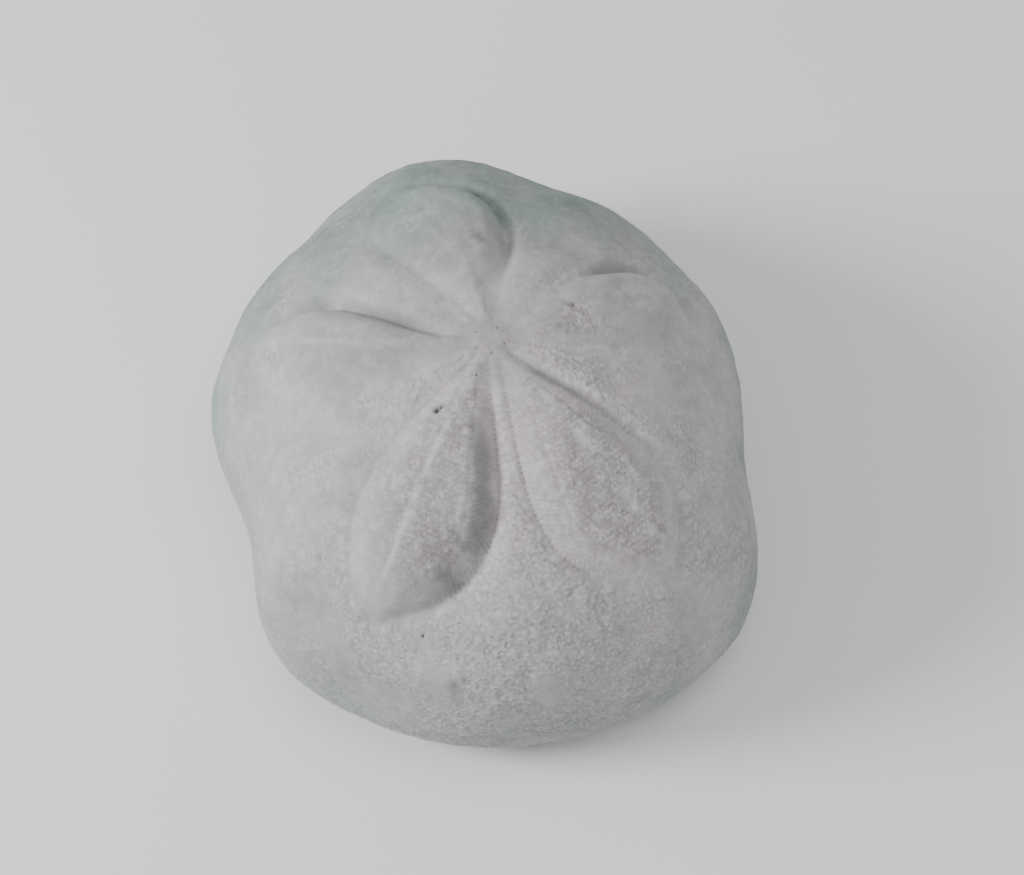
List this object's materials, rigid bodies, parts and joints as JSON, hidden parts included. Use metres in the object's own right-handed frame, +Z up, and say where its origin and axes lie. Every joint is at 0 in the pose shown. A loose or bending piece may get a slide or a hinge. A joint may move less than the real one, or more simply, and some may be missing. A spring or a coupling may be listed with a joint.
{
  "type": "sea biscuit",
  "caption": "Inflated sea urchin test with a lobed outline, swollen petals radiating over the top and a hollow underside, bare and chalky.",
  "frame": {"origin": "on the surface it rests on, under the middle of its box", "axes": "+Z up through the apex, +Y to the front, where the single petal points, -Y to the rear, +X to the right"},
  "size_m": [0.0974, 0.115, 0.0542],
  "materials": {
    "chalky_test": "matte, chalky grey-white, finely granular"
  },
  "bodies": {
    "root": {"test": "chalky_test"}
  },
  "joints": []
}
